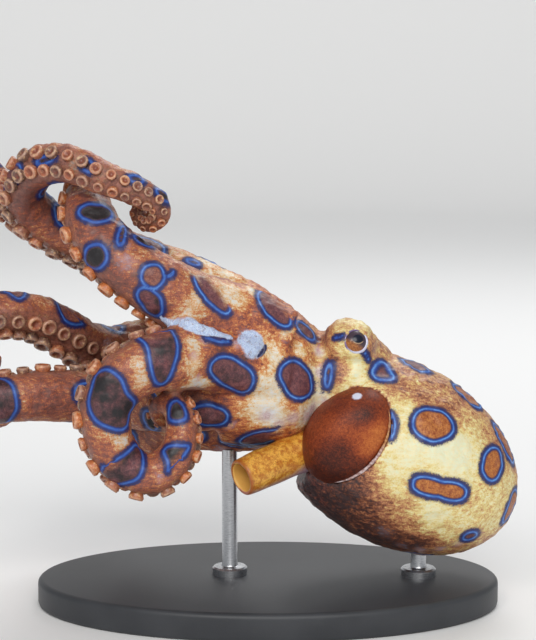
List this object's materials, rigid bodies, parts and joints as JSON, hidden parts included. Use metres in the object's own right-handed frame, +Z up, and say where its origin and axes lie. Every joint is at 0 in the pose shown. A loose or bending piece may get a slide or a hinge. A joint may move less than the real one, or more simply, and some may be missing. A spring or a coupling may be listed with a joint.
{
  "type": "blue ringed octopus",
  "caption": "Life-size blue ringed octopus swimming backwards, arms trailing and curled, with a funnel at its side, held by a plain oval display stand.",
  "frame": {"origin": "centre of the stand base's underside", "axes": "+X towards the rear end of the mantle, which leads as the animal swims, -X towards the trailing arms, -Y towards the animal's left side, +Z up"},
  "size_m": [0.107, 0.065, 0.0839],
  "materials": {
    "skin": "moist skin, cream and orange brown, with bright blue rings edged dark",
    "collar_skin": "smooth moist dark brown skin with white and orange flecks",
    "funnel_skin": "moist yellow orange skin with fine brown speckles",
    "eye": "wet eye with an orange brown iris and a dark slit pupil",
    "mouth": "folded brownish lip round a dark beak",
    "stand_base": "satin charcoal powder coat",
    "stand_rod": "brushed"
  },
  "bodies": {
    "root": {"collar": "collar_skin", "crown": "skin", "funnel": "funnel_skin", "head": "skin", "left_arm_1_base": "skin", "left_arm_1_middle": "skin", "left_arm_1_tip": "skin", "left_arm_2_base": "skin", "left_arm_2_tip": "skin", "left_arm_3_base": "skin", "left_arm_3_middle": "skin", "left_arm_3_outer": "skin", "left_arm_3_tip": "skin", "left_arm_4_base": "skin", "left_arm_4_middle": "skin", "left_arm_4_tip": "skin", "left_eye": "eye", "mantle": "skin", "mouth": "mouth", "right_arm_1_base": "skin", "right_arm_1_middle": "skin", "right_arm_1_tip": "skin", "right_arm_2_base": "skin", "right_arm_2_middle": "skin", "right_arm_2_tip": "skin", "right_arm_3_base": "skin", "right_arm_3_tip": "skin", "right_arm_4_base": "skin", "right_arm_4_tip": "skin", "right_eye": "eye", "stand_base": "stand_base", "stand_rod_crown": "stand_rod", "stand_rod_mantle": "stand_rod"}
  },
  "joints": []
}
